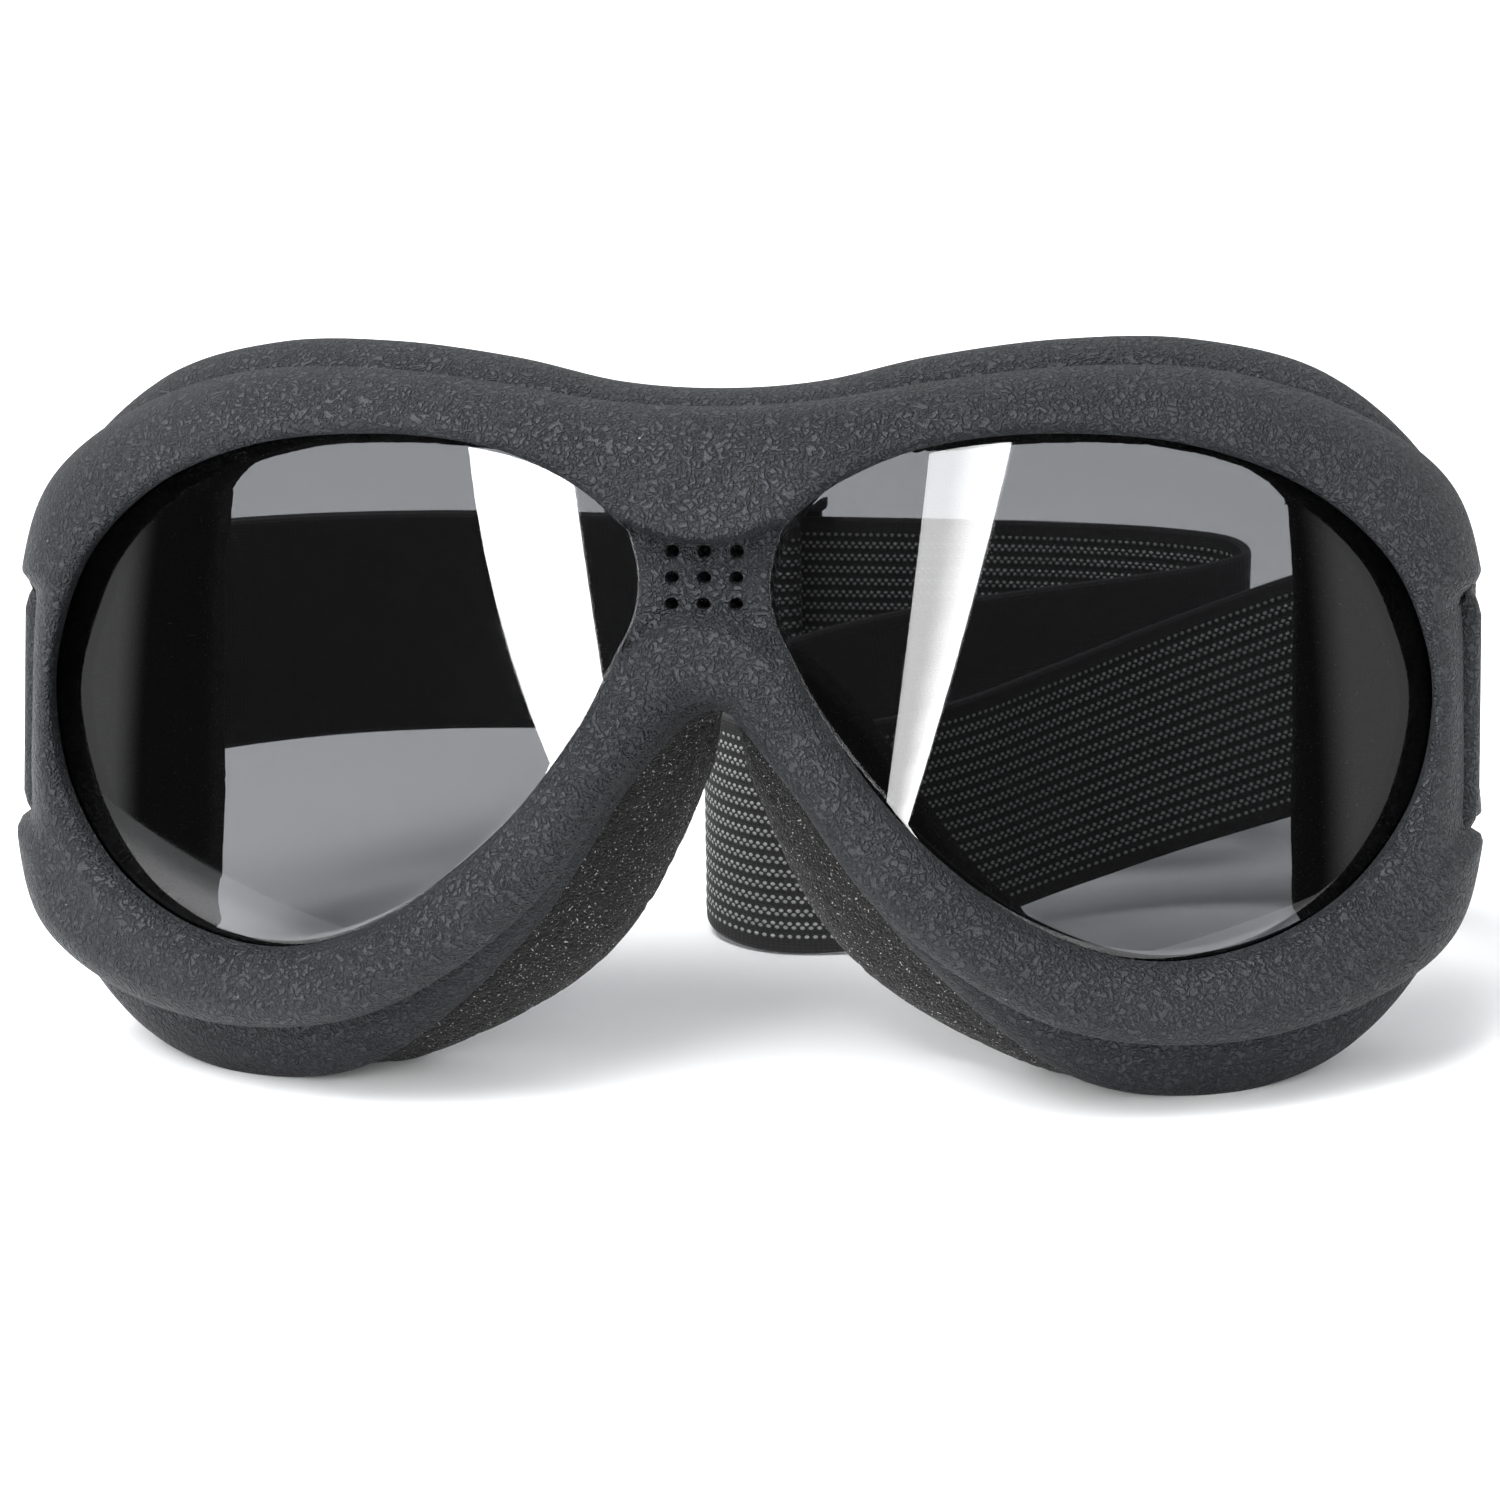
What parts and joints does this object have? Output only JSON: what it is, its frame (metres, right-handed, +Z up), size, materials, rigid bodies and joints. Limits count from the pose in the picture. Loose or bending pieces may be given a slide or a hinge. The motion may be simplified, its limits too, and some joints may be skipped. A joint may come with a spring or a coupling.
{
  "type": "motorcycle goggles",
  "caption": "Wrap-round riding goggles: a padded rubber mask with two smoke lenses, a vented bridge and an elastic head strap with a slide adjuster.",
  "frame": {"origin": "on the surface the goggles stand on, below the middle of their bounding box", "axes": "+Z up, +X across the mask to the right as seen from the front, +Y back from the lenses towards the face and the strap"},
  "size_m": [0.1752, 0.1289, 0.0853],
  "materials": {
    "frame_rubber": "matte, fine leather grain",
    "smoke_lens": "glossy smoke polycarbonate",
    "face_foam": "open-cell foam",
    "filter_foam": "fine open-cell foam",
    "strap_webbing": "woven elastic with rows of pale dots on one side",
    "slider_plastic": "moulded black"
  },
  "bodies": {
    "mask": {"frame": "frame_rubber", "lens_left": "smoke_lens", "lens_right": "smoke_lens", "face_foam": "face_foam", "vent_filter": "filter_foam", "strap_loop_left": "strap_webbing", "strap_loop_right": "strap_webbing"},
    "strap": {"strap_near_lead": "strap_webbing", "strap_near_leg": "strap_webbing", "strap_front_fold": "strap_webbing", "strap_middle_leg": "strap_webbing", "strap_rear_fold": "strap_webbing", "strap_far_leg": "strap_webbing", "strap_far_lead": "strap_webbing", "strap_tail_lead": "strap_webbing"},
    "adjuster": {"slider": "slider_plastic", "strap_tail": "strap_webbing"}
  },
  "joints": [
    {"name": "strap_swing", "type": "hinge", "parent": "mask", "child": "strap", "pos_m": [0, -0.0146, 0.0416], "axis": [1, 0, 0], "range_deg": [-35, 60], "deforming": ["strap_near_lead", "strap_far_lead", "strap_tail_lead"]},
    {"name": "slider_slide", "type": "slide", "parent": "strap", "child": "adjuster", "axis": [-0.9684, -0.2421, 0.0601], "range_m": [-0.012, 0.012], "deforming": ["strap_tail"]}
  ]
}
